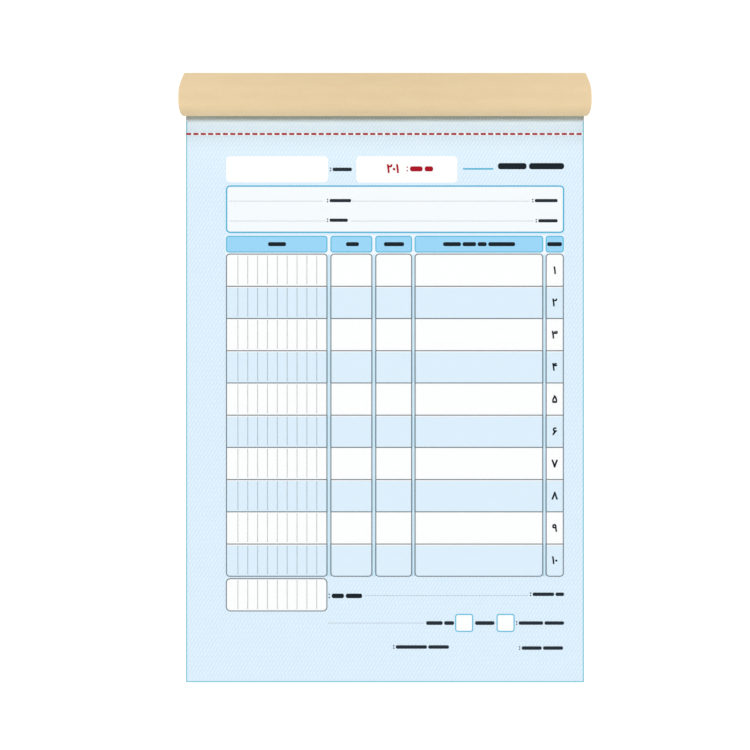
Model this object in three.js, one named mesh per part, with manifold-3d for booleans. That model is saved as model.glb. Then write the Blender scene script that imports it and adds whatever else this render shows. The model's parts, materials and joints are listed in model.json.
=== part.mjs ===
// An invoice book: numbered leaves in sets of an original and a copy, wire-stapled at the head to a
// grey board, with a kraft card cover. The cover is stapled down along a narrow strip at the head,
// then folded back on itself, over the head of the book and flat underneath it.
// Millimetres. +Y points to the head of the book and +Z up. The origin is on the table, under the
// middle of the book.
import * as THREE from "three";
import { mergeGeometries, mergeVertices } from "three/addons/utils/BufferGeometryUtils.js";
import Module from "manifold-3d";

const wasm = await Module();
wasm.setup();

// Leaves
const leafWidth = 148;
const leafLength = 222.65;
const leafThickness = 0.08;
const leafGap = 0.02;
const setCount = 25;

// Perforation that the form is torn off at: long cuts with short ties of paper between them
const stubLength = 18.65;
const cutLength = 1.9;
const cutWidth = 0.3;
const tieLength = 0.84;

// Back board
const boardThickness = 1.2;

// Staples, bent from round wire and clinched inwards under the board
const stapleCrown = 12;
const stapleSpacing = 74;
const stapleInset = 4.5;
const wireDiameter = 0.5;
const wireBend = 0.6;
const clinchLength = 3.2;
const stapleSeat = 0.03;
const legClearance = 0.15;
const clinchClearance = 0.12;

// Cover card, and the strip of it that is stapled to the head
const cardThickness = 0.4;
const cardOverhang = 0.5;
const stripWidth = 9.5;

// Fold of the cover, in the order in which the card runs from the strip round to the flap
const lowerFrontRadius = 3.4;
const frontWall = 2.4;
const upperFrontRadius = 3.4;
const crownFlat = 0.8;
const shoulderRadius = 9;
const shoulderTurn = Math.PI / 4;
const backRadius = 5;
const undersideRadius = 2.4;
const headClearance = 3.9;
const flapSetback = 12;

// Facets
const bendSteps = 12;
const wireSides = 8;
const wireSteps = 64;
const holeSides = 6;

// Levels of the stack, from the table up
const quarterTurn = Math.PI / 2;
const clinchSpace = stapleSeat + wireDiameter + clinchClearance;
const flapZ = cardThickness / 2;
const boardZ = cardThickness + clinchSpace;
const boardTop = boardZ + boardThickness;
const leafPitch = leafThickness + leafGap;
const leafCount = setCount * 2;
const blockTop = boardTop + leafCount * leafPitch;
const stripZ = blockTop + leafGap + cardThickness / 2;
const stripTop = stripZ + cardThickness / 2;

// Places along the length of the book
const rearReach = headClearance + cardThickness;
const headY = (leafLength - rearReach) / 2;
const tailY = headY - leafLength;
const creaseY = headY - stripWidth;
const perforationY = headY - stubLength;
const stapleY = headY - stapleInset;

// The slope and the wall behind the head take up what the bends leave over.
const rearY = headY + headClearance + cardThickness / 2;
const shoulderReach = shoulderRadius * Math.sin(shoulderTurn);
const shoulderDrop = shoulderRadius * (1 - Math.cos(shoulderTurn));
const backTurn = quarterTurn - shoulderTurn;
const backReach = backRadius * (1 - Math.cos(backTurn));
const backDrop = backRadius * Math.sin(backTurn);
const slopeReach = rearY - creaseY - crownFlat - shoulderReach - backReach;
const slopeLength = slopeReach / Math.cos(shoulderTurn);
const slopeDrop = slopeLength * Math.sin(shoulderTurn);
const crownZ = stripZ + lowerFrontRadius + frontWall + upperFrontRadius;
const wallFoot = flapZ + undersideRadius;
const rearWall = crownZ - shoulderDrop - slopeDrop - backDrop - wallFoot;

const finishes = {
  kraft: { color: 0xe8cfa6, roughness: 0.85, metalness: 0 },
  board: { color: 0x9a958c, roughness: 0.95, metalness: 0 },
  original: { color: 0xe4f1fb, roughness: 0.8, metalness: 0 },
  copy: { color: 0xf5e9a6, roughness: 0.8, metalness: 0 },
  wire: { color: 0xb9bcc0, roughness: 0.35, metalness: 1 },
};

const book = new THREE.Group();
book.name = "invoice_book";

function addPiece(name, geometry, finish, z = 0) {
  const mesh = new THREE.Mesh(geometry, new THREE.MeshStandardMaterial(finish));
  mesh.name = name;
  mesh.position.z = z;
  book.add(mesh);
}

// Where the four staple legs go down through the book.
function legCentres() {
  const centres = [];
  for (const side of [-1, 1]) {
    for (const leg of [-1, 1]) {
      centres.push((side * stapleSpacing + leg * stapleCrown) / 2);
    }
  }
  return centres;
}

// One leg's hole, a small polygon that clears the wire all round.
function legHole(x) {
  const radius = (wireDiameter / 2 + legClearance) / Math.cos(Math.PI / holeSides);
  const hole = new THREE.Path();
  for (let i = 0; i < holeSides; i += 1) {
    const angle = (2 * Math.PI * i) / holeSides;
    const point = [x + radius * Math.cos(angle), stapleY + radius * Math.sin(angle)];
    if (i === 0) hole.moveTo(...point);
    else hole.lineTo(...point);
  }
  hole.closePath();
  return hole;
}

// Left ends of the perforation's cuts, centred on the width of the leaf.
function cutStarts() {
  const pitch = cutLength + tieLength;
  const count = Math.floor((leafWidth - tieLength) / pitch);
  const first = -(count * pitch - tieLength) / 2;
  return Array.from({ length: count }, (_, i) => first + i * pitch);
}

// The perforated edge from left to right: it meets its neighbour at the ties and stands back
// half a cut's width from it at the cuts. The side is 1 on the stub and -1 on the form.
function perforatedEdge(side) {
  const backY = perforationY + (side * cutWidth) / 2;
  const points = [new THREE.Vector2(-leafWidth / 2, perforationY)];
  for (const x of cutStarts()) {
    points.push(new THREE.Vector2(x, perforationY));
    points.push(new THREE.Vector2(x, backY));
    points.push(new THREE.Vector2(x + cutLength, backY));
    points.push(new THREE.Vector2(x + cutLength, perforationY));
  }
  points.push(new THREE.Vector2(leafWidth / 2, perforationY));
  return points;
}

function rectangle(width, lowY, highY) {
  const half = width / 2;
  return new THREE.Shape([
    new THREE.Vector2(-half, lowY),
    new THREE.Vector2(half, lowY),
    new THREE.Vector2(half, highY),
    new THREE.Vector2(-half, highY),
  ]);
}

// A flat sheet of the given outline, with the staple legs' holes where it is stapled.
function sheet(outline, thickness, stapled) {
  if (stapled) outline.holes.push(...legCentres().map(legHole));
  return new THREE.ExtrudeGeometry(outline, { depth: thickness, bevelEnabled: false });
}

function plainLeaf() {
  return sheet(rectangle(leafWidth, tailY, headY), leafThickness, true);
}

// What stays in the book when the form has been torn off.
function leafStub() {
  const outline = new THREE.Shape([
    ...perforatedEdge(1),
    new THREE.Vector2(leafWidth / 2, headY),
    new THREE.Vector2(-leafWidth / 2, headY),
  ]);
  return sheet(outline, leafThickness, true);
}

function leafForm() {
  const outline = new THREE.Shape([
    ...perforatedEdge(-1).reverse(),
    new THREE.Vector2(-leafWidth / 2, tailY),
    new THREE.Vector2(leafWidth / 2, tailY),
  ]);
  return sheet(outline, leafThickness, false);
}

function solidOf(geometry) {
  const bare = geometry.clone();
  bare.deleteAttribute("normal");
  bare.deleteAttribute("uv");
  const merged = mergeVertices(bare);
  const vertProperties = merged.attributes.position.array;
  const triVerts = new Uint32Array(merged.index.array);
  return new wasm.Manifold(new wasm.Mesh({ numProp: 3, vertProperties, triVerts }));
}

function geometryOf(solid) {
  const { vertProperties, triVerts } = solid.getMesh();
  const geometry = new THREE.BufferGeometry();
  geometry.setAttribute("position", new THREE.BufferAttribute(vertProperties, 3));
  geometry.setIndex(new THREE.BufferAttribute(triVerts, 1));
  return geometry;
}

// A whole leaf with its perforation still unused: a row of slits right through the paper.
function slitLeaf() {
  const blades = cutStarts().map((x) => {
    const blade = new THREE.BoxGeometry(cutLength, cutWidth, 4 * leafThickness);
    return blade.translate(x + cutLength / 2, perforationY, leafThickness / 2);
  });
  return geometryOf(solidOf(plainLeaf()).subtract(solidOf(mergeGeometries(blades))));
}

// The block, from the top leaf down. Only the top set's perforation is worked out in full: its
// original is cut through at it, so that the form can be lifted and torn off.
function addLeaves() {
  const levelZ = (leaf) => blockTop - leaf * leafPitch - leafThickness;
  const whole = plainLeaf();
  for (let set = 0; set < setCount; set += 1) {
    const label = `set${String(set + 1).padStart(2, "0")}`;
    const originalZ = levelZ(2 * set);
    const copyZ = levelZ(2 * set + 1);
    if (set === 0) {
      addPiece(`${label}_original_stub`, leafStub(), finishes.original, originalZ);
      addPiece(`${label}_original_form`, leafForm(), finishes.original, originalZ);
      addPiece(`${label}_copy`, slitLeaf(), finishes.copy, copyZ);
    } else {
      addPiece(`${label}_original`, whole, finishes.original, originalZ);
      addPiece(`${label}_copy`, whole, finishes.copy, copyZ);
    }
  }
}

function addBoard() {
  const outline = rectangle(leafWidth, tailY, headY);
  addPiece("back_board", sheet(outline, boardThickness, true), finishes.board, boardZ);
}

// The centreline of one staple: clinched tip, leg, crown, leg, clinched tip, with round bends.
function stapleLine(centreX) {
  const half = stapleCrown / 2;
  const topZ = stripTop + stapleSeat + wireDiameter / 2;
  const lowZ = boardZ - stapleSeat - wireDiameter / 2;
  const at = (x, z) => new THREE.Vector3(centreX + x, stapleY, z);
  const corners = [
    at(clinchLength - half, lowZ),
    at(-half, lowZ),
    at(-half, topZ),
    at(half, topZ),
    at(half, lowZ),
    at(half - clinchLength, lowZ),
  ];
  const line = new THREE.CurvePath();
  let start = corners[0];
  for (let i = 1; i < corners.length - 1; i += 1) {
    const corner = corners[i];
    const before = corner.clone().lerp(start, wireBend / corner.distanceTo(start));
    const after = corner.clone().lerp(corners[i + 1], wireBend / corner.distanceTo(corners[i + 1]));
    line.add(new THREE.LineCurve3(start, before));
    line.add(new THREE.QuadraticBezierCurve3(before, corner, after));
    start = after;
  }
  line.add(new THREE.LineCurve3(start, corners[corners.length - 1]));
  return line;
}

function addStaples() {
  const section = new THREE.Shape();
  for (let i = 0; i < wireSides; i += 1) {
    const angle = (2 * Math.PI * i) / wireSides;
    const x = (wireDiameter / 2) * Math.cos(angle);
    const y = (wireDiameter / 2) * Math.sin(angle);
    if (i === 0) section.moveTo(x, y);
    else section.lineTo(x, y);
  }
  for (const [name, side] of [["staple_left", -1], ["staple_right", 1]]) {
    const extrudePath = stapleLine((side * stapleSpacing) / 2);
    const wire = new THREE.ExtrudeGeometry(section, { steps: wireSteps, extrudePath });
    addPiece(name, wire, finishes.wire);
  }
}

// The card's centreline in section, walked from the crease at the strip to the end of the flap.
// Each station holds its place and heading: 0 runs towards the tail, a quarter turn runs up.
// The folds are the stations at the middle of each bend, where the card hinges.
function walkCover() {
  const stations = [{ y: creaseY, z: stripZ, heading: 0 }];
  const folds = [];
  let walked = 0;
  const last = () => stations[stations.length - 1];
  const runOn = (length) => {
    const { y, z, heading } = last();
    stations.push({
      y: y - length * Math.cos(heading),
      z: z + length * Math.sin(heading),
      heading,
    });
    walked += length;
  };
  const bendOn = (radius, turn) => {
    const { y, z, heading } = last();
    const centreY = y + radius * Math.sin(heading);
    const centreZ = z + radius * Math.cos(heading);
    for (let i = 1; i <= bendSteps; i += 1) {
      const now = heading + (turn * i) / bendSteps;
      stations.push({
        y: centreY - radius * Math.sin(now),
        z: centreZ - radius * Math.cos(now),
        heading: now,
      });
      if (i === bendSteps / 2) folds.push(stations.length - 1);
    }
    walked += radius * turn;
  };
  bendOn(lowerFrontRadius, quarterTurn);
  runOn(frontWall);
  bendOn(upperFrontRadius, quarterTurn);
  runOn(crownFlat);
  bendOn(shoulderRadius, shoulderTurn);
  runOn(slopeLength);
  bendOn(backRadius, backTurn);
  runOn(rearWall);
  bendOn(undersideRadius, quarterTurn);
  runOn(last().y - (headY - flapSetback));
  const flapStart = stations.length - 1;
  runOn(leafLength - stripWidth - walked);
  return { stations, folds, flapStart };
}

// A stretch of the cover between two stations: the card's section, extruded across the book.
function cardPiece(stations, from, to) {
  const stretch = stations.slice(from, to + 1);
  const offset = (side) => ({ y, z, heading }) =>
    new THREE.Vector2(
      y + (side * cardThickness * Math.sin(heading)) / 2,
      z + (side * cardThickness * Math.cos(heading)) / 2,
    );
  const outside = stretch.map(offset(-1));
  const inside = stretch.map(offset(1)).reverse();
  const depth = leafWidth + 2 * cardOverhang;
  const section = new THREE.Shape([...outside, ...inside]);
  const geometry = new THREE.ExtrudeGeometry(section, { depth, bevelEnabled: false });
  geometry.translate(0, 0, -depth / 2);
  const alongBook = new THREE.Vector3(0, 1, 0);
  const upwards = new THREE.Vector3(0, 0, 1);
  const acrossBook = new THREE.Vector3(1, 0, 0);
  geometry.applyMatrix4(new THREE.Matrix4().makeBasis(alongBook, upwards, acrossBook));
  return geometry;
}

function addCover() {
  const stripOutline = rectangle(leafWidth + 2 * cardOverhang, creaseY, headY);
  const strip = sheet(stripOutline, cardThickness, true);
  addPiece("cover_strip", strip, finishes.kraft, stripZ - cardThickness / 2);
  const { stations, folds, flapStart } = walkCover();
  const [, upperFront, shoulder, back] = folds;
  const stretches = [
    ["cover_front_roll", 0, upperFront],
    ["cover_crown", upperFront, shoulder],
    ["cover_shoulder", shoulder, back],
    ["cover_back_bend", back, flapStart],
    ["cover_flap", flapStart, stations.length - 1],
  ];
  for (const [name, from, to] of stretches) {
    addPiece(name, cardPiece(stations, from, to), finishes.kraft);
  }
}

addBoard();
addLeaves();
addCover();
addStaples();

export default book;
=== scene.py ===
import json
import math
import random

import bmesh
import bpy
from mathutils import Matrix, Vector
from mathutils.geometry import delaunay_2d_cdt


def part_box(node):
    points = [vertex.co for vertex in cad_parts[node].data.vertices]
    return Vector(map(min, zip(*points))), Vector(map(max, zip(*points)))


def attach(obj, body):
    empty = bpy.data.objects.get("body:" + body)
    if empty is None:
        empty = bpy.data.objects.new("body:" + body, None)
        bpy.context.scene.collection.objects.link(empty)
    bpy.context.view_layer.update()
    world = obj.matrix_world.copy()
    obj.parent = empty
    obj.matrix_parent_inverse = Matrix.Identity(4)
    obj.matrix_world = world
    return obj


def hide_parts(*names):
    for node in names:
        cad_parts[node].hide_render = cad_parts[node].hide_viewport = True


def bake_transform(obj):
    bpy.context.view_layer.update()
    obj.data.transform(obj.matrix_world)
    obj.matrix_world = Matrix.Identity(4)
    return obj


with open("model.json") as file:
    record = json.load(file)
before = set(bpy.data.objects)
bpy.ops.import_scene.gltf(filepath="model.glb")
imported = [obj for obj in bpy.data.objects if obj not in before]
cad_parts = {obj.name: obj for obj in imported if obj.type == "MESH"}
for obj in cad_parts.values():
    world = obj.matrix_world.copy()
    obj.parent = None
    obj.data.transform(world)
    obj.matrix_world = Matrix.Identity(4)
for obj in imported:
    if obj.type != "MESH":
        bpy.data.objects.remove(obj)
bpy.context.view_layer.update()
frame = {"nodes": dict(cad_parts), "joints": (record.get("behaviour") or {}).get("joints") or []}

mm = 0.001


# The back board is one sheet of grey recycled board, as large as the leaves and 1.2 mm thick.
# It is cut with the leaves in the guillotine, so its edges are sharp, with corners slightly crushed.

def ink(red, green, blue):
    """A printed or dyed colour, from 0 to 255 a channel, as the light that it sends back."""
    shares = [level / 255 for level in (red, green, blue)]
    return tuple(s / 12.92 if s <= 0.04045 else ((s + 0.055) / 1.055) ** 2.4 for s in shares) + (1.0,)


def shade(tree, kind, options=None, **inputs):
    """One shader node. Its inputs are given by name, as a value or as the output that feeds them."""
    made = tree.nodes.new("ShaderNode" + kind)
    for option, choice in (options or {}).items():
        setattr(made, option, choice)
    for name, value in inputs.items():
        wire_or_set(tree, made.inputs[name.replace("_", " ")], value)
    return made


def wire_or_set(tree, socket, value):
    if isinstance(value, bpy.types.NodeSocket):
        tree.links.new(value, socket)
    else:
        socket.default_value = value


def reckon(tree, operation, first, second=0.0):
    """A sum on two values, as a Math node."""
    made = tree.nodes.new("ShaderNodeMath")
    made.operation = operation
    wire_or_set(tree, made.inputs[0], first)
    wire_or_set(tree, made.inputs[1], second)
    return made.outputs[0]


def stretch(tree, value, low, high, to_low=0.0, to_high=1.0, smooth=True):
    """Spreads value from low..high to to_low..to_high, and holds it at the ends."""
    inputs = {"Value": value, "From_Min": low, "From_Max": high, "To_Min": to_low, "To_Max": to_high}
    kind = {"interpolation_type": "SMOOTHSTEP" if smooth else "LINEAR"}
    return shade(tree, "MapRange", kind, **inputs).outputs["Result"]


def mixed(tree, share, first, second):
    """The first colour where share is 0 and the second where it is 1."""
    made = tree.nodes.new("ShaderNodeMix")
    made.data_type = "RGBA"
    wire_or_set(tree, made.inputs[0], share)
    wire_or_set(tree, made.inputs[6], first)
    wire_or_set(tree, made.inputs[7], second)
    return made.outputs[2]


def grain(tree, place, size, along=(1, 1, 1), detail=3.0, turn=0.0):
    """Soft noise with spots about size metres across, drawn out where along is below 1. The
    drawing out can be turned about Z by an angle in degrees."""
    spread = shade(tree, "Mapping", {"vector_type": "TEXTURE"}, Vector=place,
                   Rotation=(0, 0, math.radians(turn)), Scale=[size / share for share in along])
    return shade(tree, "TexNoise", Vector=spread.outputs[0], Scale=1.0, Detail=detail).outputs["Fac"]


def finish_named(name, roughness):
    """A new material with its shader and the place that its patterns are laid out on."""
    finish = bpy.data.materials.new(name)
    finish.use_nodes = True
    tree = finish.node_tree
    shader = tree.nodes["Principled BSDF"]
    shader.inputs["Roughness"].default_value = roughness
    shader.inputs["Specular IOR Level"].default_value = 0.25
    place = shade(tree, "TexCoord").outputs["Object"]
    return finish, tree, shader, place


def roughen(tree, shader, height, depth, roughness):
    """Turns a height from 0 to 1 into a relief of that depth in metres, and into a roughness that
    goes from the first value to the second."""
    bump = shade(tree, "Bump", Strength=1.0, Distance=depth, Height=height)
    tree.links.new(bump.outputs["Normal"], shader.inputs["Normal"])
    wire_or_set(tree, shader.inputs["Roughness"], stretch(tree, height, 0.3, 0.7, *roughness))


def grey_board_finish():
    finish, tree, shader, place = finish_named("grey_board", 0.85)
    pulp = grain(tree, place, 2.4 * mm)
    lumps = grain(tree, place, 0.5 * mm, detail=5.0)
    base = mixed(tree, stretch(tree, pulp, 0.35, 0.65), ink(158, 153, 142), ink(172, 168, 158))
    flecks = stretch(tree, grain(tree, place, 0.22 * mm, (0.35, 1, 1)), 0.66, 0.74)
    spotted = mixed(tree, reckon(tree, "MULTIPLY", flecks, 0.55), base, ink(96, 92, 86))
    pale = stretch(tree, grain(tree, place, 0.3 * mm, (1, 0.3, 1)), 0.66, 0.75)
    wire_or_set(tree, shader.inputs["Base Color"],
                mixed(tree, reckon(tree, "MULTIPLY", pale, 0.5), spotted, ink(205, 202, 194)))
    roughen(tree, shader, lumps, 0.05 * mm, (0.78, 0.95))
    return finish


def finish_piece(piece_name, mesh, finishes):
    """An object in the scene for a finished mesh, with its materials."""
    for finish in finishes:
        mesh.materials.append(finish)
    mesh.shade_smooth()
    mesh.set_sharp_from_angle(angle=math.radians(35))
    piece = bpy.data.objects.new(piece_name, mesh)
    bpy.context.scene.collection.objects.link(piece)
    return piece


def mesh_of(shape, name):
    """Closes a bmesh into a mesh, with its faces pointing out."""
    bmesh.ops.recalc_face_normals(shape, faces=shape.faces)
    mesh = bpy.data.meshes.new(name)
    shape.to_mesh(mesh)
    shape.free()
    return mesh


board_low, board_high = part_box("back_board")
board_edge = 0.14 * mm

board = bmesh.new()
bmesh.ops.create_cube(board, size=1.0)
bmesh.ops.scale(board, vec=board_high - board_low, verts=board.verts)
bmesh.ops.translate(board, vec=(board_low + board_high) / 2, verts=board.verts)
upright = [e for e in board.edges if abs(e.verts[0].co.z - e.verts[1].co.z) > board_edge]
bmesh.ops.bevel(board, geom=upright, offset=4 * board_edge, offset_type="OFFSET", segments=4,
                profile=0.5, affect="EDGES", material=-1)
rims = [e for e in board.edges if abs(e.verts[0].co.z - e.verts[1].co.z) < board_edge / 10]
bmesh.ops.bevel(board, geom=rims, offset=board_edge, offset_type="OFFSET", segments=2,
                profile=0.5, affect="EDGES", material=-1)
back_board = finish_piece("grey_back_board", mesh_of(board, "grey_back_board"),
                          [grey_board_finish()])
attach(back_board, "pad")
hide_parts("back_board")


# The block is 25 sets of carbonless paper, each a white original over a yellow copy.
# All the leaves are printed alike, gathered, and trimmed together, so only their edges show.

def leaf_finish(name, colour, edge_colour):
    """Uncoated paper: fine fibres, a slight cloud in its shade, and paler cut edges."""
    finish, tree, shader, place = finish_named(name, 0.8)
    cloud = stretch(tree, grain(tree, place, 9 * mm), 0.3, 0.7)
    fibres = grain(tree, place, 0.16 * mm, (0.5, 1, 1), detail=4.0)
    deeper = tuple(level * 0.965 for level in colour[:3]) + (1.0,)
    paper = mixed(tree, cloud, deeper, colour)
    facing = shade(tree, "SeparateXYZ", Vector=shade(tree, "NewGeometry").outputs["True Normal"])
    side = stretch(tree, reckon(tree, "ABSOLUTE", facing.outputs["Z"]), 0.2, 0.8, 1.0, 0.0)
    streaks = grain(tree, place, 1.1 * mm, (1, 1, 0.02))
    cut_edge = mixed(tree, stretch(tree, streaks, 0.35, 0.65), deeper, edge_colour)
    wire_or_set(tree, shader.inputs["Base Color"], mixed(tree, side, paper, cut_edge))
    roughen(tree, shader, fibres, 0.012 * mm, (0.72, 0.9))
    return finish


original_shades = [
    leaf_finish("original_leaf_a", ink(246, 248, 251), ink(253, 252, 250)),
    leaf_finish("original_leaf_b", ink(242, 245, 249), ink(250, 249, 247)),
    leaf_finish("original_leaf_c", ink(248, 250, 251), ink(255, 254, 252)),
]
copy_shades = [
    leaf_finish("copy_leaf_a", ink(253, 239, 178), ink(254, 242, 192)),
    leaf_finish("copy_leaf_b", ink(250, 233, 166), ink(252, 238, 182)),
    leaf_finish("copy_leaf_c", ink(254, 243, 190), ink(255, 246, 204)),
]
picker = random.Random(25)
for node_name, leaf in frame["nodes"].items():
    if node_name.startswith("set"):
        shades = copy_shades if node_name.endswith("copy") else original_shades
        leaf.data.materials.clear()
        leaf.data.materials.append(picker.choice(shades))


# The top set lies open: a printed original, parted across by a row of knife cuts with paper ties
# between them, and the yellow copy under it, printed and perforated alike in the same two passes.

form_low, form_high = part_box("set01_original_form")
copy_low, copy_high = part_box("set01_copy")
tear_y = next(joint["pos_m"][1] for joint in frame["joints"] if joint["name"] == "form_lift")
leaf_left, leaf_right = form_low.x, form_high.x
leaf_head, leaf_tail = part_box("set01_original_stub")[1].y, form_low.y
leaf_width = leaf_right - leaf_left

cut_length = 1.9 * mm
cut_pitch = 2.74 * mm
cut_gap = 0.04 * mm
curl_length = 5.0 * mm
curl_steps = 10
bend_places = [tear_y - curl_length * step / curl_steps for step in range(1, curl_steps + 1)]


def cut_starts():
    """The left ends of the knife cuts, from the left edge to the right one."""
    count = int((leaf_width - cut_length) / cut_pitch) + 1
    return [leaf_left + i * cut_pitch for i in range(count)]


def slice_at(shape, axis, places):
    """Cuts every face of a flat shape along lines square to axis, 0 for x and 1 for y."""
    normal = Vector((axis == 0, axis == 1, 0))
    for place in places:
        everything = shape.verts[:] + shape.edges[:] + shape.faces[:]
        bmesh.ops.bisect_plane(shape, geom=everything, plane_co=normal * place, plane_no=normal, dist=1e-7)


def remember_flat(mesh):
    """Keeps where each point lies while the leaf is down, so that print follows the paper."""
    places = mesh.attributes.new("laid_flat", "FLOAT_VECTOR", "POINT")
    for index, vertex in enumerate(mesh.vertices):
        places.data[index].vector = vertex.co


def leaf_sheet(name, low_z, high_z, printed, plain):
    """One leaf, printed on its upper side only, with its row of cuts right through, and close
    lines where it bends when lifted."""
    leaf = bmesh.new()
    bmesh.ops.create_grid(leaf, x_segments=1, y_segments=1, size=0.5)
    size = Vector((leaf_width, leaf_head - leaf_tail, 1))
    bmesh.ops.scale(leaf, vec=size, verts=leaf.verts)
    bmesh.ops.translate(leaf, vec=(0, (leaf_head + leaf_tail) / 2, high_z), verts=leaf.verts)
    slice_at(leaf, 1, [tear_y + cut_gap / 2, tear_y - cut_gap / 2] + bend_places)
    edges = [x + side for x in cut_starts() for side in (0, cut_length)]
    slice_at(leaf, 0, [x for x in edges if leaf_left + mm / 100 < x < leaf_right - mm / 100])
    cuts = [
        face for face in leaf.faces
        if abs(face.calc_center_median().y - tear_y) < cut_gap / 2
        and any(0 < face.calc_center_median().x - x < cut_length for x in cut_starts())
    ]
    bmesh.ops.delete(leaf, geom=cuts, context="FACES")
    paper = bmesh.ops.extrude_face_region(leaf, geom=leaf.faces[:])
    under = [item for item in paper["geom"] if isinstance(item, bmesh.types.BMVert)]
    bmesh.ops.translate(leaf, vec=(0, 0, low_z - high_z), verts=under)
    for vertex in under:
        for face in vertex.link_faces:
            face.material_index = 1
    mesh = mesh_of(leaf, name)
    remember_flat(mesh)
    return finish_piece(name, mesh, [printed, plain])


def flat_place(tree):
    """The place on the laid-down leaf, and its distance across and down in metres."""
    place = shade(tree, "Attribute", {"attribute_name": "laid_flat"}).outputs["Vector"]
    parts = shade(tree, "SeparateXYZ", Vector=place)
    return place, parts.outputs["X"], parts.outputs["Y"]


def back_finish(name, colour):
    """The unprinted back of a leaf, a little uneven in its shade."""
    finish, tree, shader, _ = finish_named(name, 0.8)
    place, _, _ = flat_place(tree)
    cloud = stretch(tree, grain(tree, place, 6 * mm), 0.3, 0.7)
    deeper = tuple(level * 0.985 for level in colour[:3]) + (1.0,)
    wire_or_set(tree, shader.inputs["Base Color"], mixed(tree, cloud, deeper, colour))
    roughen(tree, shader, grain(tree, place, 0.16 * mm, (0.5, 1, 1), 4.0), 0.01 * mm, (0.74, 0.88))
    return finish


def hatch(tree, across, down, pitch, lean):
    """Fine ruled lines, 1 on each line and 0 between, leaning by that angle from the upright."""
    turn = 2 * math.pi / pitch
    sideways = reckon(tree, "MULTIPLY", across, turn * math.cos(lean))
    downwards = reckon(tree, "MULTIPLY", down, -turn * math.sin(lean))
    wave = reckon(tree, "SINE", reckon(tree, "ADD", sideways, downwards))
    return stretch(tree, wave, -0.6, 0.6)


def squared_beyond(tree, value, low, high):
    """The square of how far a value lies outside low..high, and 0 inside."""
    off_middle = reckon(tree, "ABSOLUTE", reckon(tree, "SUBTRACT", value, (low + high) / 2))
    beyond = reckon(tree, "MAXIMUM", reckon(tree, "SUBTRACT", off_middle, (high - low) / 2), 0.0)
    return reckon(tree, "MULTIPLY", beyond, beyond)


def glow(tree, across, down, box, spread):
    """1 inside a box on the leaf, fading to 0 at spread outside it."""
    left, right, low, high = box
    far_across = squared_beyond(tree, across, left, right)
    far_down = squared_beyond(tree, down, low, high)
    far = reckon(tree, "SQRT", reckon(tree, "ADD", far_across, far_down))
    return stretch(tree, far, 0.0, spread, 1.0, 0.0)


def form_x(from_left):
    """A distance in mm from the leaf's left edge, as a place across the book."""
    return leaf_left + from_left * mm


def form_y(below_cuts):
    """A distance in mm below the row of cuts, as a place along the book."""
    return tear_y - below_cuts * mm


# The form is laid out in mm from the leaf's left edge and below the row of cuts. The table's columns
# go from left to right, each with its start and its end.
columns = [(15.06, 52.4), (53.9, 69.1), (70.6, 83.9), (85.2, 132.65), (133.93, 140.3)]
head_top, head_bottom = 38.2, 44.0
table_top = 44.8
row_height = 11.98
row_count = 10
table_bottom = table_top + row_count * row_height
table_left, table_right = columns[0][0], columns[-1][1]
rule_width = 0.38


def row_top(row):
    """Where a row of the table starts, counted from 0, in mm below the cuts."""
    return table_top + row * row_height


def on_stock(stock, colour):
    """A printed colour as it looks on paper of that shade, which shows through every ink."""
    return tuple(level * paper for level, paper in zip(colour, stock))


def ground_finish(name, stock):
    """The form's printed ground: a pale tint with fine slanting lines, lighter by headings and cuts."""
    finish, tree, shader, _ = finish_named(name, 0.78)
    place, across, down = flat_place(tree)
    paper = on_stock(stock, ink(250, 252, 255))
    slanting = hatch(tree, across, down, 1.134 * mm, math.radians(31))
    upright = hatch(tree, across, down, 1.31 * mm, math.radians(-9))
    weave = reckon(tree, "MULTIPLY", slanting, stretch(tree, upright, 0.0, 1.0, 0.5, 1.0))
    ground = mixed(tree, weave, on_stock(stock, ink(216, 236, 252)), on_stock(stock, ink(227, 245, 255)))
    cloud = stretch(tree, grain(tree, place, 5 * mm), 0.3, 0.7)
    worn = mixed(tree, reckon(tree, "MULTIPLY", cloud, 0.06), ground, paper)
    headings = (form_x(table_left), form_x(table_right), form_y(table_top - 0.2), form_y(head_top))
    cuts = (leaf_left, leaf_right, form_y(0.45), form_y(-0.2))
    by_headings = reckon(tree, "MULTIPLY", glow(tree, across, down, headings, 0.9 * mm), 0.75)
    by_cuts = reckon(tree, "MULTIPLY", glow(tree, across, down, cuts, 0.6 * mm), 0.5)
    clear = reckon(tree, "MAXIMUM", by_headings, by_cuts)
    wire_or_set(tree, shader.inputs["Base Color"], mixed(tree, clear, worn, paper))
    fibres = grain(tree, place, 0.16 * mm, (0.5, 1, 1), detail=4.0)
    roughen(tree, shader, fibres, 0.012 * mm, (0.72, 0.88))
    return finish


def ink_finish(name, colour):
    """A flat printing ink on uncoated paper: the fibres let a little of the sheet through, and more
    of it where the ink is pale."""
    finish, tree, shader, _ = finish_named(name, 0.75)
    shader.inputs["Specular IOR Level"].default_value = 0.1
    place, _, _ = flat_place(tree)
    speckle = stretch(tree, grain(tree, place, 0.12 * mm, (0.5, 1, 1), 4.0, 15), 0.35, 0.7)
    strength = 0.004 + 0.04 * sum(colour[:3]) / 3
    thin = tuple(level + (1 - level) * strength for level in colour[:3]) + (1.0,)
    wire_or_set(tree, shader.inputs["Base Color"], mixed(tree, speckle, colour, thin))
    roughen(tree, shader, grain(tree, place, 0.16 * mm, (0.5, 1, 1), 4.0), 0.003 * mm, (0.7, 0.8))
    return finish


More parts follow.
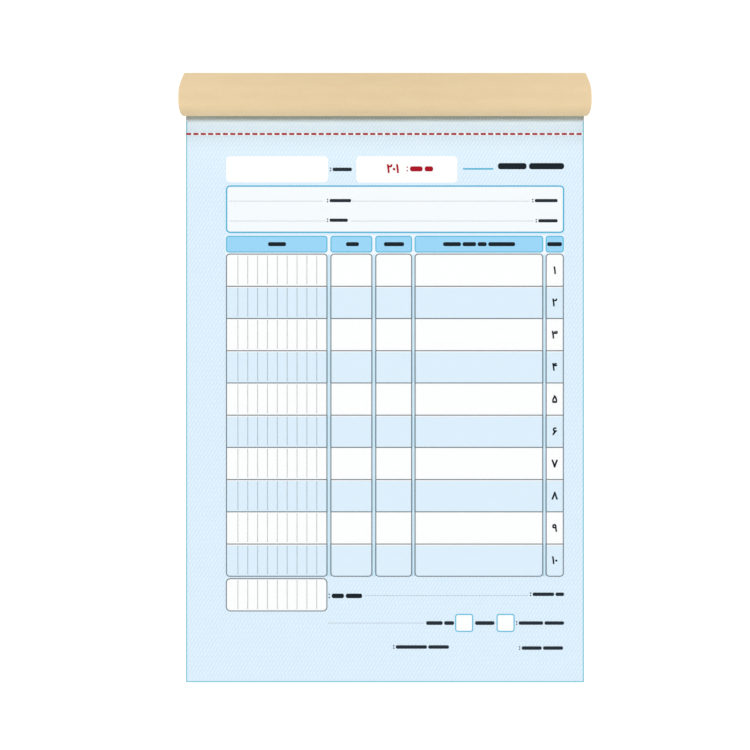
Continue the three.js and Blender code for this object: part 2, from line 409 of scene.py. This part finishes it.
ink_colours = {
    "white": (254, 255, 255),
    "panel": (246, 251, 255),
    "pale": (221, 240, 253),
    "gutter": (170, 208, 228),
    "gutter_pale": (209, 235, 249),
    "heading": (155, 215, 249),
    "heading_rim": (92, 190, 222),
    "cyan": (74, 180, 216),
    "edge": (108, 194, 214),
    "rule": (104, 114, 121),
    "dots": (128, 136, 143),
    "pale_dots": (166, 174, 182),
    "dark": (12, 24, 32),
    "soft_dark": (30, 40, 48),
    "red": (168, 0, 30),
}


def ink_set(name, stock):
    """All the inks of the form, as they come out on paper of that shade."""
    return {
        ink_name: ink_finish(name + "_ink_" + ink_name, on_stock(stock, ink(*colour)))
        for ink_name, colour in ink_colours.items()
    }


# Inks that overlap stand on different steps over the paper, so that no two tops share a plane. All
# of them reach a little way into it.
ink_step = 0.009 * mm
ink_sunk = 0.03 * mm
bar_level, figure_level = 4, 6
bar_roundness = 0.42


class Print:
    """One group of printed shapes on a leaf. Each ink lies as a thin closed slab on the paper."""

    def __init__(self, paper_top):
        self.paper_top = paper_top
        self.shape = bmesh.new()
        self.used = []

    def ink_index(self, ink_name):
        if ink_name not in self.used:
            self.used.append(ink_name)
        return self.used.index(ink_name)

    def slab(self, flat_faces, ink_name, level):
        """Thickens flat faces into a slab whose top is that many ink steps over the paper."""
        index = self.ink_index(ink_name)
        top = self.paper_top + level * ink_step
        corners = {v for face in flat_faces for v in face.verts}
        for corner in corners:
            corner.co.z = top
        grown = bmesh.ops.extrude_face_region(self.shape, geom=list(flat_faces))["geom"]
        lowered = [item for item in grown if isinstance(item, bmesh.types.BMVert)]
        bmesh.ops.translate(self.shape, vec=(0, 0, self.paper_top - ink_sunk - top), verts=lowered)
        for vertex in list(corners) + lowered:
            for face in vertex.link_faces:
                face.material_index = index

    def box(self, left, right, top, bottom, ink_name, level=1, corner=0.0, foot_only=False):
        """A filled box, in mm from the left edge and below the cuts, with rounded corners."""
        made = bmesh.ops.create_grid(self.shape, x_segments=1, y_segments=1, size=0.5)["verts"]
        bmesh.ops.scale(self.shape, vec=((right - left) * mm, (bottom - top) * mm, 1), verts=made)
        middle = (form_x((left + right) / 2), form_y((top + bottom) / 2), 0)
        bmesh.ops.translate(self.shape, vec=middle, verts=made)
        if corner:
            rounded = [v for v in made if v.co.y < middle[1] or not foot_only]
            made = bmesh.ops.bevel(self.shape, geom=rounded, offset=corner * mm, offset_type="OFFSET",
                                   segments=5, profile=0.5, affect="VERTICES", material=-1)["verts"]
        self.slab([made[0].link_faces[0]], ink_name, level)

    def framed_box(self, left, right, top, bottom, ink_name, rim_ink, rim=0.37, corner=1.0, level=1):
        """A filled box with a printed outline whose middle runs along the box's edge."""
        half = rim / 2
        self.box(left - half, right + half, top - half, bottom + half, rim_ink, level, corner + half)
        self.box(left + half, right - half, top + half, bottom - half, ink_name, level + 1,
                 max(corner - half, 0.1))

    def dotted(self, start, end, dot=0.26, pitch=0.4, ink_name="dots", level=3):
        """A dotted rule from one point to another: one dot, repeated."""
        run = Print(self.paper_top)
        run.used = self.used
        half = dot / 2
        run.box(start[0] - half, start[0] + half, start[1] - half, start[1] + half, ink_name, level)
        span = Vector((end[0] - start[0], start[1] - end[1], 0))
        one_dot = run.shape.verts[:] + run.shape.edges[:] + run.shape.faces[:]
        bmesh.ops.spin(run.shape, geom=one_dot, cent=(0, 0, 0), axis=(0, 0, 1), angle=0,
                       dvec=span.normalized() * pitch * mm, steps=int(span.length / pitch),
                       use_duplicate=True)
        rule = bpy.data.meshes.new("dotted_rule")
        run.shape.to_mesh(rule)
        run.shape.free()
        self.shape.from_mesh(rule)
        bpy.data.meshes.remove(rule)

    def bar(self, left, right, top, bottom, ink_name):
        """A plain bar with rounded ends."""
        corner = min(bottom - top, right - left) * bar_roundness
        self.box(left, right, top, bottom, ink_name, bar_level, corner)

    def bars(self, left, right, middle, height, shares, ink_name, colon=False):
        """A line of plain bars, split across its width by shares. A colon puts two dots before it."""
        gap = height * 0.4
        if colon:
            dot = max(height * 0.28, 0.5)
            for side in (-0.34, 0.34):
                y = middle + side * height
                self.bar(left, left + dot, y - dot / 2, y + dot / 2, ink_name)
            left += dot + gap
        room = right - left - gap * (len(shares) - 1)
        for share in shares:
            width = room * share / sum(shares)
            self.bar(left, left + width, middle - height / 2, middle + height / 2, ink_name)
            left += width + gap

    def figures(self, text, middle_x, middle_y, height, ink_name, bold):
        """Figures set in the plain built-in face, centred on a point, of that height in mm. They are
        inked wherever one of four copies of their outline lies, moved apart by bold."""
        corners, sides = figure_outline(text)
        middle = Vector((max(c.x for c in corners) + min(c.x for c in corners),
                         max(c.y for c in corners) + min(c.y for c in corners))) / 2
        pens = [Vector((x, y)) * bold for x in (-1, 1) for y in (-1, 1)]
        points = [corner + pen for pen in pens for corner in corners]
        edges = [(a + len(corners) * i, b + len(corners) * i) for i in range(len(pens)) for a, b in sides]
        spots, _, faces, *_ = delaunay_2d_cdt(points, edges, [], 0, 1e-6)
        size = height * mm / figure_height
        kept = []
        for face in faces:
            centre = sum((spots[i] for i in face), Vector((0, 0))) / len(face)
            if any(inside(centre - pen, corners, sides) for pen in pens):
                kept.append(face)
        verts = {}
        for index in sorted({i for face in kept for i in face}):
            x, y = (spots[index] - middle) * size
            verts[index] = self.shape.verts.new((form_x(middle_x) + x, form_y(middle_y) + y, 0))
        inked = [self.shape.faces.new([verts[i] for i in face]) for face in kept]
        self.slab(inked, ink_name, figure_level)

    def piece(self, name, inks, slot):
        mesh = mesh_of(self.shape, name)
        remember_flat(mesh)
        return finish_piece(name, mesh, [inks[ink_name] for ink_name in self.used])


# How tall the face's figures stand when it is set at a size of 1.
figure_height = 0.68
row_figures = ["۱", "۲", "۳", "۴", "۵", "۶", "۷", "۸", "۹", "۱۰"]


def figure_outline(text):
    """The outlines of figures in the plain built-in face: their points, and the sides between them."""
    curve = bpy.data.curves.new("figures", "FONT")
    curve.body = text
    curve.resolution_u = 3
    curve.fill_mode = "NONE"
    setter = bpy.data.objects.new("figures", curve)
    bpy.context.scene.collection.objects.link(setter)
    bpy.context.view_layer.update()
    outline = setter.to_mesh()
    corners = [v.co.xy.copy() for v in outline.vertices]
    joined = {i: [] for i in range(len(corners))}
    for edge in outline.edges:
        first, second = edge.vertices
        joined[first].append(second)
        joined[second].append(first)
    setter.to_mesh_clear()
    bpy.data.objects.remove(setter)
    bpy.data.curves.remove(curve)
    sides, seen = [], set()
    for first in range(len(corners)):
        if first in seen:
            continue
        loop = [first]
        seen.add(first)
        while True:
            onward = sorted(i for i in joined[loop[-1]] if i not in seen)
            if not onward:
                break
            loop.append(onward[0])
            seen.add(onward[0])
        sides += list(zip(loop, loop[1:] + loop[:1]))
    return corners, sides


def inside(point, corners, sides):
    """Whether a point lies within outlines, also where two of them overlap."""
    turns = 0
    for first, second in sides:
        low, high = corners[first], corners[second]
        if (low.y <= point.y) != (high.y <= point.y):
            share = (point.y - low.y) / (high.y - low.y)
            if low.x + share * (high.x - low.x) > point.x:
                turns += 1 if high.y > low.y else -1
    return turns != 0


# The form's boxes, each with its left, right, top and bottom.
date_box = (14.95, 52.85, 8.4, 18.1)
number_box = (63.3, 100.9, 8.4, 18.2)
customer_box = (15.1, 140.4, 19.5, 36.7)
total_box = (15.0, 52.4, 165.5, 177.5)
title_dash = (103.0, 114.3, 12.8, 13.4)
tick_lefts, tick_top, tick_side = (115.7, 100.3), 178.8, 6.3
heading_rim, heading_corner = 0.45, 0.8
gutter_side = 0.4
tint_below_rule = 0.55
tinted_rows = range(1, row_count, 2)


def print_boxes(paper_top):
    """The filled and outlined boxes: date, number, customer, headings, rows, total and ticks."""
    boxes = Print(paper_top)
    boxes.box(*date_box, "white", corner=1.5)
    boxes.box(*number_box, "white", corner=1.5)
    boxes.framed_box(*customer_box, "panel", "cyan", rim=0.55, corner=1.3)
    for left, right in columns:
        boxes.framed_box(left, right, head_top, head_bottom, "heading", "heading_rim",
                         heading_rim, heading_corner)
    for (_, left), (right, _) in zip(columns, columns[1:]):
        boxes.box(left, right, table_top + 0.3, table_bottom, "gutter_pale", level=0.5)
        for row in tinted_rows:
            for side in (left, right - gutter_side):
                boxes.box(side, side + gutter_side, row_top(row), row_top(row + 1), "gutter")
    for left, right in columns:
        boxes.framed_box(left, right, table_top, table_bottom, "white", "rule", rule_width, 1.2, level=2)
        for row in range(1, row_count):
            top = row_top(row)
            boxes.box(left, right, top - rule_width / 2, top + rule_width / 2, "rule", level=4)
        for row in tinted_rows:
            corner = 1.0 if row == row_count - 1 else 0.0
            boxes.box(left + rule_width / 2, right - rule_width / 2, row_top(row) + tint_below_rule,
                      row_top(row + 1) - rule_width / 2, "pale", 4, corner, foot_only=True)
    boxes.framed_box(*total_box, "white", "rule", rule_width, corner=1.5)
    for left in tick_lefts:
        boxes.framed_box(left, left + tick_side, tick_top, tick_top + tick_side, "white",
                         "heading_rim", heading_rim, heading_corner)
    boxes.box(*title_dash, "cyan")
    return boxes


# The lines to write on, each with its left end, its right end and its place below the cuts; and the
# places of the money column, which dotted rules part.
writing_lines = [(16.4, 50.8, 25.1), (62.0, 127.7, 25.1), (16.4, 51.7, 32.5),
                 (61.7, 129.0, 32.5), (66.6, 127.2, 171.8), (53.0, 88.5, 182.0)]
writing_dot, writing_pitch = 0.28, 0.56
first_place, place_width, place_rules = 19.3, 3.665, 9


def print_rules(paper_top):
    """The dotted rules: lines to write on, and the money column's places."""
    rules = Print(paper_top)
    for left, right, y in writing_lines:
        rules.dotted((left, y), (right, y), writing_dot, writing_pitch, "pale_dots")
    _, _, total_top, total_bottom = total_box
    for place in range(place_rules):
        x = first_place + place * place_width
        for row in range(row_count):
            rules.dotted((x, row_top(row) + 0.7), (x, row_top(row + 1) - 0.5), level=5)
        rules.dotted((x, total_top + 0.7), (x, total_bottom - 0.6), level=5)
    return rules


# Lines of plain bars, each with its left end, its right end, its middle below the cuts, its height,
# and the shares in which its bars divide its width. The heading bars share one middle and height.
title_bars = (116.0, 140.6, 12.1, 2.3, (9, 11))
date_bars = (53.5, 61.7, 13.3, 1.3, (1,))
customer_bars = [
    (52.4, 61.4, 24.9, 1.2, (1,)),
    (52.4, 60.2, 32.2, 1.2, (1,)),
    (128.7, 138.2, 24.9, 1.2, (1,)),
    (130.0, 138.2, 32.4, 1.2, (1,)),
]
heading_middle, heading_height = 41.1, 1.5
heading_bars = [(30.5, 37.2, (1,)), (59.5, 64.3, (1,)), (73.6, 81.1, (1,)),
                (95.6, 122.4, (4, 3, 2, 6)), (134.3, 139.8, (1,))]
total_bars = (53.0, 65.5, 171.9, 1.7, (3, 4))
foot_bars = [
    (127.9, 140.6, 171.3, 1.3, (5, 2)),
    (122.7, 140.6, 182.0, 1.3, (5, 4)),
    (123.8, 140.2, 191.3, 1.3, (4, 4)),
    (77.0, 97.8, 190.9, 1.3, (6, 4)),
]
tick_bars = [(107.5, 114.7, 182.0, 1.4, (1,)), (89.3, 99.7, 182.0, 1.4, (5, 3))]
number_bars = (82.0, 91.9, 13.1, 1.9, (3, 2))
row_figures_middle, row_figures_height, row_figures_bold = 137.1, 2.7, 0.032
number_middle, number_height, number_bold = (76.9, 13.0), 3.0, 0.036


def print_labels(paper_top):
    """Lines of plain bars beside the boxes, the figures of the rows, and the form's number."""
    labels = Print(paper_top)
    labels.bars(*title_bars, "dark")
    for bars in [date_bars] + customer_bars:
        labels.bars(*bars, "soft_dark", colon=True)
    for left, right, shares in heading_bars:
        labels.bars(left, right, heading_middle, heading_height, shares, "dark")
    labels.bars(*total_bars, "dark", colon=True)
    for bars in foot_bars:
        labels.bars(*bars, "soft_dark", colon=True)
    for bars in tick_bars:
        labels.bars(*bars, "soft_dark")
    for row, figure in enumerate(row_figures):
        labels.figures(figure, row_figures_middle, row_top(row + 0.5), row_figures_height, "dark",
                       row_figures_bold)
    labels.figures("۲۰۱", *number_middle, number_height, "red", number_bold)
    labels.bars(*number_bars, "red", colon=True)
    return labels


# Half the width of a cut, in mm: the print beside a cut starts that far from its middle. The red
# dashes reach over both lips, and the line along the leaf's edge begins below the head.
cut_lip = cut_gap / mm / 2
dash_above, dash_below = 0.23, 0.49
edge_line, edge_inset, edge_below_head = 0.4, 0.02, 14


def print_cuts(paper_top):
    """A red dash along both lips of each cut, on a white line that shows at the ties between them."""
    dashes = Print(paper_top)
    tie = (cut_pitch - cut_length) / mm
    for start in cut_starts():
        left = (start - leaf_left) / mm
        right = left + cut_length / mm
        dashes.box(left, right, -dash_above, -cut_lip, "red", level=2)
        dashes.box(left, right, cut_lip, dash_below, "red", level=2)
        if right + tie < leaf_width / mm:
            dashes.box(right, right + tie, -dash_above, dash_below, "white")
    return dashes


def print_edges(paper_top):
    """A thin line of deeper tint along the sides and the foot, right at the leaf's outer edges."""
    lines = Print(paper_top)
    width, foot = leaf_width / mm, (tear_y - leaf_tail) / mm
    top = (tear_y - leaf_head) / mm + edge_below_head
    for left in (edge_inset, width - edge_line - edge_inset):
        lines.box(left, left + edge_line, top, -cut_lip, "edge", level=1.5)
        lines.box(left, left + edge_line, cut_lip, foot, "edge", level=1.5)
    clear_of_sides = edge_line + 0.05
    lines.box(clear_of_sides, width - clear_of_sides, foot - edge_line, foot - edge_inset, "edge")
    slice_at(lines.shape, 1, bend_places)
    return lines


groups = {"boxes": print_boxes, "rules": print_rules, "labels": print_labels,
          "cuts": print_cuts, "edges": print_edges}

white_stock = (1.0, 1.0, 1.0, 1.0)
yellow_stock = ink(253, 241, 176)
original_inks = ink_set("original", white_stock)
copy_inks = ink_set("copy", yellow_stock)

top_leaf = leaf_sheet("printed_original", form_low.z, form_high.z,
                      ground_finish("original_ground", white_stock),
                      back_finish("original_back", ink(249, 250, 251)))
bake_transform(top_leaf)
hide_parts("set01_original_stub", "set01_original_form")
copy_leaf = leaf_sheet("printed_copy", copy_low.z, copy_high.z,
                       ground_finish("copy_ground", yellow_stock),
                       back_finish("copy_back", ink(253, 240, 180)))
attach(copy_leaf, "pad")
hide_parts("set01_copy")
for group, draw in groups.items():
    printed = draw(form_high.z).piece("original_print_" + group, original_inks, "original_paper")
    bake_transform(printed)
    duplicate = draw(copy_high.z).piece("copy_print_" + group, copy_inks, "copy_paper")
    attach(duplicate, "pad")


# The cover is one sheet of kraft card, 0.4 mm thick. A strip of it is stapled down along the head;
# from there it rolls up and back over the head, down behind it, and lies flat under the book.

strip_low, strip_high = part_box("cover_strip")
flap_low, flap_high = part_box("cover_flap")
card_thickness = flap_high.z - flap_low.z
card_left, card_right = flap_low.x, flap_high.x
lower_front_radius = 3.4 * mm
front_wall = 2.4 * mm
upper_front_radius = 3.4 * mm
crown_flat = 0.8 * mm
shoulder_radius = 9.0 * mm
back_radius = 5.0 * mm
underside_radius = 2.4 * mm
quarter_turn = math.radians(90)
shoulder_turn = math.radians(45)
bend_facet = math.radians(3.75)

crease = Vector((0, strip_low.y, (strip_low.z + strip_high.z) / 2))
crown_start_y = crease.y + crown_flat
rear_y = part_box("cover_back_bend")[1].y - card_thickness / 2
turned = math.sin(shoulder_turn)
slope_length = (rear_y - crown_start_y - shoulder_radius * turned - back_radius * (1 - turned)) / turned
crown_z = crease.z + lower_front_radius + front_wall + upper_front_radius
slope_end_z = crown_z - shoulder_radius * (1 - turned) - slope_length * turned
flap_z = (flap_low.z + flap_high.z) / 2
rear_wall = slope_end_z - back_radius * turned - underside_radius - flap_z


# The kraft's fibres lie in four directions. Each has its turn in degrees, its width as a share of
# its length, its colour, and how strongly it shows.
kraft_fibres = [
    (8, 0.1, ink(244, 227, 194), 0.2),
    (-27, 0.16, ink(209, 180, 136), 0.18),
    (38, 0.15, ink(243, 226, 192), 0.14),
    (81, 0.2, ink(212, 184, 140), 0.12),
]


def kraft_finish():
    """Unbleached kraft: long pale and dark fibres, faint clouds, specks, and edges gone fluffy."""
    finish, tree, shader, place = finish_named("kraft_card", 0.72)
    across = shade(tree, "SeparateXYZ", Vector=place).outputs["X"]
    along = shade(tree, "Attribute", {"attribute_name": "along_card"}).outputs["Fac"]
    unrolled = shade(tree, "CombineXYZ", X=across, Y=along, Z=0.0).outputs[0]
    cloud = stretch(tree, grain(tree, unrolled, 4 * mm, (0.4, 1, 1)), 0.3, 0.7)
    base = mixed(tree, cloud, ink(229, 203, 160), ink(231, 206, 164))
    for turn, narrowness, colour, strength in kraft_fibres:
        strands = grain(tree, unrolled, 0.14 * mm, (narrowness, 1, 1), 1.0, turn)
        shown = reckon(tree, "MULTIPLY", stretch(tree, strands, 0.57, 0.7), strength)
        base = mixed(tree, shown, base, colour)
    specks = stretch(tree, grain(tree, unrolled, 0.3 * mm, detail=1.0), 0.76, 0.8)
    base = mixed(tree, reckon(tree, "MULTIPLY", specks, 0.4), base, ink(160, 126, 86))
    from_edge = reckon(tree, "SUBTRACT", card_right, reckon(tree, "ABSOLUTE", across))
    ragged = reckon(tree, "MULTIPLY", grain(tree, unrolled, 0.9 * mm), 0.9 * mm)
    worn = stretch(tree, reckon(tree, "SUBTRACT", from_edge, ragged), -0.4 * mm, 0.1 * mm, 1.0, 0.0)
    base = mixed(tree, reckon(tree, "MULTIPLY", worn, 0.45), base, ink(241, 224, 194))
    wire_or_set(tree, shader.inputs["Base Color"], base)
    one_way = grain(tree, unrolled, 0.14 * mm, (0.25, 1, 1), 2.0, 20)
    other_way = grain(tree, unrolled, 0.12 * mm, (0.3, 1, 1), 2.0, -50)
    felt = reckon(tree, "MULTIPLY", reckon(tree, "ADD", one_way, other_way), 0.5)
    roughen(tree, shader, felt, 0.014 * mm, (0.66, 0.85))
    return finish


class FoldedCard:
    """Walks along the middle of the card's thickness and grows the card behind it."""

    def __init__(self, start):
        self.point = start.copy()
        self.heading = Vector((0, -1, 0))
        self.along = 0.0

    def begin(self, name):
        """Starts a piece with the card's cross-section, whose short ends are slightly rounded."""
        self.name = name
        self.shape = bmesh.new()
        self.along_layer = self.shape.verts.layers.float.new("along_card")
        made = bmesh.ops.create_grid(self.shape, x_segments=1, y_segments=1, size=0.5)["verts"]
        bmesh.ops.scale(self.shape, vec=(card_right - card_left, card_thickness, 1), verts=made)
        rounded = bmesh.ops.bevel(self.shape, geom=made, offset=0.11 * mm, offset_type="OFFSET",
                                  segments=2, profile=0.5, affect="VERTICES", material=-1)["verts"]
        self.cap = rounded[0].link_faces[0]
        upright = math.atan2(self.heading.z, self.heading.y) + quarter_turn
        bmesh.ops.rotate(self.shape, cent=(0, 0, 0), matrix=Matrix.Rotation(upright, 3, "X"),
                         verts=self.shape.verts)
        bmesh.ops.translate(self.shape, vec=self.point, verts=self.shape.verts)
        self.mark_along()

    def mark_along(self):
        for vertex in self.cap.verts:
            vertex[self.along_layer] = self.along

    def grow(self):
        """Extrudes the end of the card and makes the new end the one that moves."""
        made = bmesh.ops.extrude_face_region(self.shape, geom=[self.cap])["geom"]
        self.cap = next(item for item in made if isinstance(item, bmesh.types.BMFace))

    def straight(self, length):
        self.grow()
        bmesh.ops.translate(self.shape, vec=self.heading * length, verts=self.cap.verts)
        self.point += self.heading * length
        self.along += length
        self.mark_along()

    def bend(self, radius, angle):
        """Rolls the card towards its inner side about a line across the book."""
        inner = Vector((0, self.heading.z, -self.heading.y))
        centre = self.point + inner * radius
        steps = max(1, round(angle / bend_facet))
        turn = Matrix.Rotation(-angle / steps, 3, "X")
        for _ in range(steps):
            self.grow()
            bmesh.ops.rotate(self.shape, cent=centre, matrix=turn, verts=self.cap.verts)
            self.point = centre + turn @ (self.point - centre)
            self.heading = turn @ self.heading
            self.along += radius * angle / steps
            self.mark_along()

    def finish(self, *nodes):
        piece = finish_piece(self.name, mesh_of(self.shape, self.name), [kraft])
        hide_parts(*nodes)
        return piece


kraft = kraft_finish()
card = FoldedCard(Vector((0, strip_high.y, crease.z)))

card.begin("cover_strip_and_lift")
card.straight(strip_high.y - strip_low.y)
lift_start = card.point.copy()
card.bend(lower_front_radius, quarter_turn)
lift_end = card.point.copy()
card.straight(front_wall / 2)
piece = card.finish("cover_strip")
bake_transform(piece)

card.begin("cover_front_fold_card")
card.straight(front_wall / 2)
front_start = card.point.copy()
card.bend(upper_front_radius, quarter_turn)
front_end = card.point.copy()
card.straight(crown_flat / 2)
piece = card.finish("cover_front_roll")
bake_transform(piece)

card.begin("cover_shoulder_card")
card.straight(crown_flat / 2)
shoulder_start = card.point.copy()
card.bend(shoulder_radius, shoulder_turn)
shoulder_end = card.point.copy()
card.straight(slope_length / 2)
piece = card.finish("cover_crown")
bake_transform(piece)

card.begin("cover_back_fold_card")
card.straight(slope_length / 2)
back_start = card.point.copy()
card.bend(back_radius, quarter_turn - shoulder_turn)
back_end = card.point.copy()
card.straight(rear_wall / 2)
piece = card.finish("cover_shoulder")
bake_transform(piece)

card.begin("cover_underside_card")
card.straight(rear_wall / 2)
under_start = card.point.copy()
card.bend(underside_radius, quarter_turn)
under_end = card.point.copy()
card.straight(card.point.y - flap_high.y)
piece = card.finish("cover_back_bend")
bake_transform(piece)

card.begin("cover_flap_card")
card.straight(card.point.y - flap_low.y)
piece = card.finish("cover_flap")
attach(piece, "flap")


# Two staples of bright drawn wire go down through the strip, the leaves and the board,
# and are clinched flat under the board. They are driven before the cover is folded back.

wire_bend = 0.6 * mm
wire_bend_steps = 8
wire_sides = 14
clinch_length = 3.2 * mm


def wire_finish():
    """Drawn steel wire: bright, with fine marks along it and a dull patch here and there."""
    finish, tree, shader, place = finish_named("staple_wire", 0.3)
    shader.inputs["Metallic"].default_value = 1.0
    shader.inputs["Specular IOR Level"].default_value = 0.5
    dull = stretch(tree, grain(tree, place, 1.3 * mm), 0.35, 0.7)
    wire_or_set(tree, shader.inputs["Base Color"], mixed(tree, dull, ink(205, 207, 209), ink(176, 178, 181)))
    marks = grain(tree, place, 0.12 * mm, (0.08, 1, 0.08))
    roughen(tree, shader, marks, 0.006 * mm, (0.24, 0.42))
    return finish


def staple(name, node, finish):
    """Walks the wire from one clinched end, up a leg, across the crown and down again."""
    low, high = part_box(node)
    thickness = high.y - low.y
    centre = (low + high) / 2
    leg_gap = high.x - low.x - thickness
    rise = high.z - low.z - thickness
    wire = bmesh.new()
    made = bmesh.ops.create_circle(wire, cap_ends=True, segments=wire_sides, radius=thickness / 2)["verts"]
    bmesh.ops.rotate(wire, cent=(0, 0, 0), matrix=Matrix.Rotation(quarter_turn, 3, "Y"), verts=made)
    start = Vector((low.x + thickness / 2 + clinch_length, centre.y, low.z + thickness / 2))
    bmesh.ops.translate(wire, vec=start, verts=made)
    cap = made[0].link_faces[0]
    point, heading = start.copy(), Vector((-1, 0, 0))
    runs = [clinch_length, rise, leg_gap, rise, clinch_length]
    for place, length in enumerate(runs):
        last = place == len(runs) - 1
        ends = wire_bend * (1 if place == 0 or last else 2)
        grown = bmesh.ops.extrude_face_region(wire, geom=[cap])["geom"]
        cap = next(item for item in grown if isinstance(item, bmesh.types.BMFace))
        bmesh.ops.translate(wire, vec=heading * (length - ends), verts=cap.verts)
        point += heading * (length - ends)
        if last:
            break
        centre_line = point + wire_bend * Vector((heading.z, 0, -heading.x))
        turn = Matrix.Rotation(quarter_turn / wire_bend_steps, 3, "Y")
        for _ in range(wire_bend_steps):
            grown = bmesh.ops.extrude_face_region(wire, geom=[cap])["geom"]
            cap = next(item for item in grown if isinstance(item, bmesh.types.BMFace))
            bmesh.ops.rotate(wire, cent=centre_line, matrix=turn, verts=cap.verts)
            point = centre_line + turn @ (point - centre_line)
            heading = turn @ heading
    piece = finish_piece(name, mesh_of(wire, name), [finish])
    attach(piece, "pad")
    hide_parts(node)


bright_wire = wire_finish()
staple("staple_left_wire", "staple_left", bright_wire)
staple("staple_right_wire", "staple_right", bright_wire)


# The book lies on a plain white table under soft even light, and is seen from straight above.
# One large soft lamp over the head gives the fold its shadow; the rest comes from all round.

def white_where_seen(tree, lit, white):
    """The level white where the eye, a mirror or a glass looks, and lit where light is gathered."""
    path = shade(tree, "LightPath").outputs
    seen = reckon(tree, "MAXIMUM", path["Is Camera Ray"], reckon(tree, "MAXIMUM", path["Is Glossy Ray"],
                                                                 path["Is Transmission Ray"]))
    return stretch(tree, seen, 0.0, 1.0, lit, white, smooth=False)


surround_level = 0.11
world = bpy.data.worlds.new("surround")
bpy.context.scene.world = world
world.use_nodes = True
backdrop = world.node_tree.nodes["Background"]
backdrop.inputs["Color"].default_value = (1, 1, 1, 1)
wire_or_set(world.node_tree, backdrop.inputs["Strength"],
            white_where_seen(world.node_tree, surround_level, 1.0))

table_reach = 3.0
table_colour = 0.6
table_lift = 0.52
table_finish, table_tree, table_shader, _ = finish_named("white_table", 0.9)
table_shader.inputs["Base Color"].default_value = (table_colour, table_colour, table_colour, 1)
table_shader.inputs["Specular IOR Level"].default_value = 0.0
table_shader.inputs["Emission Color"].default_value = (1, 1, 1, 1)
wire_or_set(table_tree, table_shader.inputs["Emission Strength"],
            white_where_seen(table_tree, 0.0, table_lift))
table_shape = bmesh.new()
bmesh.ops.create_grid(table_shape, x_segments=1, y_segments=1, size=table_reach)
table_mesh = bpy.data.meshes.new("white_table")
table_shape.to_mesh(table_mesh)
table_shape.free()
table_mesh.materials.append(table_finish)
table = bpy.data.objects.new("white_table", table_mesh)
bpy.context.scene.collection.objects.link(table)


def soft_lamp(name, round_from_head, tilt, level, width):
    """An even lamp, as wide as an angle in degrees, and tilted from overhead towards one side of the
    book, which is given in degrees round from the head. A white face turned to it looks that level
    of white."""
    lamp = bpy.data.lights.new(name, "SUN")
    lamp.energy = level * math.pi
    lamp.angle = math.radians(width)
    stand = bpy.data.objects.new(name, lamp)
    turn = Matrix.Rotation(math.radians(-round_from_head), 4, "Z")
    lean = Matrix.Rotation(math.radians(-tilt), 4, "X")
    stand.matrix_world = turn @ lean @ Matrix.Translation((0, 0, 1))
    bpy.context.scene.collection.objects.link(stand)


soft_lamp("overhead_lamp", round_from_head=0, tilt=6.5, level=0.625, width=16)
soft_lamp("front_lamp", round_from_head=180, tilt=84, level=0.42, width=10)
soft_lamp("rear_lamp", round_from_head=0, tilt=48, level=0.25, width=20)
soft_lamp("right_lamp", round_from_head=90, tilt=87, level=0.42, width=6)
soft_lamp("left_lamp", round_from_head=-90, tilt=87, level=0.42, width=6)

# In the picture, 750 pixels square, the book lies a little to the right of the middle and below it.
picture_side = 750
pixels_right, pixels_below = 10, 2
camera_height = 307.25 * mm
camera = bpy.data.cameras.new("overhead")
camera.sensor_width = 36
camera.lens = 38.72
camera.shift_x = -pixels_right / picture_side
camera.shift_y = pixels_below / picture_side
camera_stand = bpy.data.objects.new("overhead", camera)
camera_stand.location = (0, 0.025 * mm, camera_height)
bpy.context.scene.collection.objects.link(camera_stand)
bpy.context.scene.camera = camera_stand
bpy.context.scene.view_settings.view_transform = "Standard"
